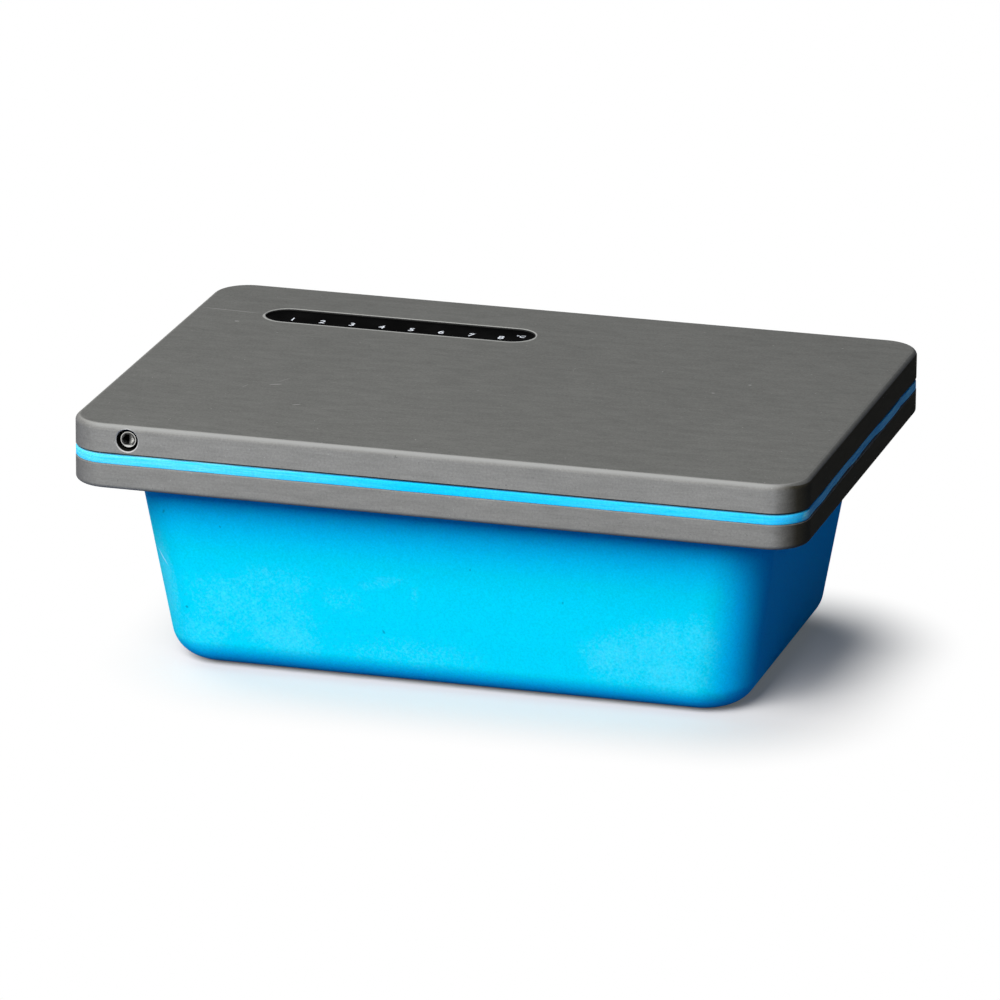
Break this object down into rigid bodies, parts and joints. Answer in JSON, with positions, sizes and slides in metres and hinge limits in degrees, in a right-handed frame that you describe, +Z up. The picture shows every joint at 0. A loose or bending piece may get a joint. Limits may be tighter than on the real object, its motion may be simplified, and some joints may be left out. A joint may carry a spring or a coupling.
{
  "type": "pcr cooling core",
  "caption": "Flat-topped aluminium cooling core for a tube rack, with a drafted silicone gel tub clamped below it, a thermometer strip and a fill plug.",
  "frame": {"origin": "centre of the outline on the underside of the tub, at the lowest point", "axes": "+X along the long side, away from the end with the plug and the strip; +Z up, out of the plate's top face; -Y out of the front face that holds the plug"},
  "size_m": [0.137, 0.095, 0.0493],
  "materials": {
    "plate_metal": "hard anodised, matt grey with fine milling grain",
    "frame_metal": "hard anodised, matt grey",
    "silicone": "moulded, satin",
    "gel": "clear wet gel",
    "strip_film": "glossy printed film",
    "plug_steel": "stainless, as turned",
    "screw_steel": "stainless, as turned"
  },
  "bodies": {
    "root": {"top_plate": "plate_metal", "thermometer_strip": "strip_film", "fill_plug": "plug_steel", "coolant_tub": "silicone", "coolant_gel": "gel", "clamp_frame": "frame_metal", "clamp_screws": "screw_steel"}
  },
  "joints": []
}
